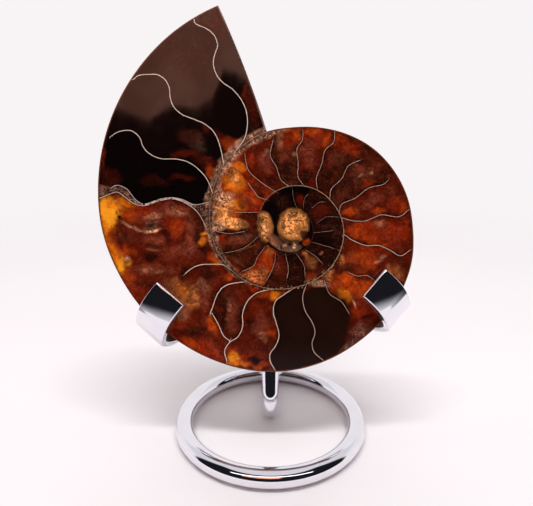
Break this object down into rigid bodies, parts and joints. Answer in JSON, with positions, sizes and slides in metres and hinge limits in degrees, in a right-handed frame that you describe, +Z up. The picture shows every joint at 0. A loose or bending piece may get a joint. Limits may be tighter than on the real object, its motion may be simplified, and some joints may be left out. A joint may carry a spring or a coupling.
{
  "type": "ammonite fossil half on stand",
  "caption": "Sawn and polished half of a coiled ammonite that shows its chambers, held upright in the hooks of a chromed ring stand.",
  "frame": {"origin": "middle of the whole object's footprint box, on the table", "axes": "+Z up, the polished face looks towards -Y and leans back, the fossil's mouth is at the upper left as seen from the front"},
  "size_m": [0.0754, 0.05, 0.1049],
  "materials": {
    "chrome": "mirror polished plating",
    "fossil": "polished calcite on the sawn face, natural shell on the back"
  },
  "bodies": {
    "root": {"base_ring": "chrome", "stem_rod": "chrome", "cradle_strap": "chrome", "ammonite_half": "fossil"}
  },
  "joints": []
}
